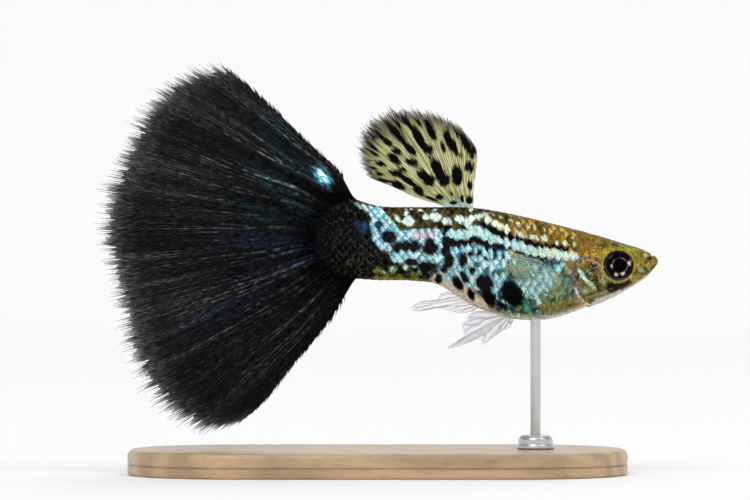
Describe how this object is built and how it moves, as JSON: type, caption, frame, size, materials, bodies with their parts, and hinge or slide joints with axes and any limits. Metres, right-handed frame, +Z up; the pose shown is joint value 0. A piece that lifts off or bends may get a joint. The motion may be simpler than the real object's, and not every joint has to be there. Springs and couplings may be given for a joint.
{
  "type": "fancy guppy display model",
  "caption": "Life-size male fancy guppy with a great black fan tail, a spotted yellow dorsal fin and a turquoise scaled body, held by a rod on a flat display base.",
  "frame": {"origin": "middle of the model's footprint, on the surface that the stand's base rests on", "axes": "+X from the tail fin to the snout, +Z up, -Y out of the fish's right flank"},
  "size_m": [0.0539, 0.024, 0.0396],
  "materials": {
    "scaled_skin": "wet-looking scaled skin: olive gold back and head, turquoise and white flank with black spots, black tail stalk",
    "eye": "glossy black eye with a thin silver ring round the pupil",
    "tail_fin_membrane": "near-black rayed membrane with a bluish sheen and frayed grey tips",
    "dorsal_fin_membrane": "pale yellow-green rayed membrane with black spots along the rays",
    "clear_fin_membrane": "clear whitish membrane with fine pale rays",
    "stand_wood": "pale close-grained wood with a satin varnish",
    "stand_steel": "satin ground steel"
  },
  "bodies": {
    "root": {"head": "scaled_skin", "lower_jaw": "scaled_skin", "trunk": "scaled_skin", "tail_stalk": "scaled_skin", "eye_right": "eye", "eye_left": "eye", "tail_fin": "tail_fin_membrane", "dorsal_fin": "dorsal_fin_membrane", "pectoral_fin_right": "clear_fin_membrane", "pectoral_fin_left": "clear_fin_membrane", "pelvic_fin_right": "clear_fin_membrane", "pelvic_fin_left": "clear_fin_membrane", "anal_fin": "clear_fin_membrane", "stand_base": "stand_wood", "stand_rod": "stand_steel", "stand_collar": "stand_steel"}
  },
  "joints": []
}
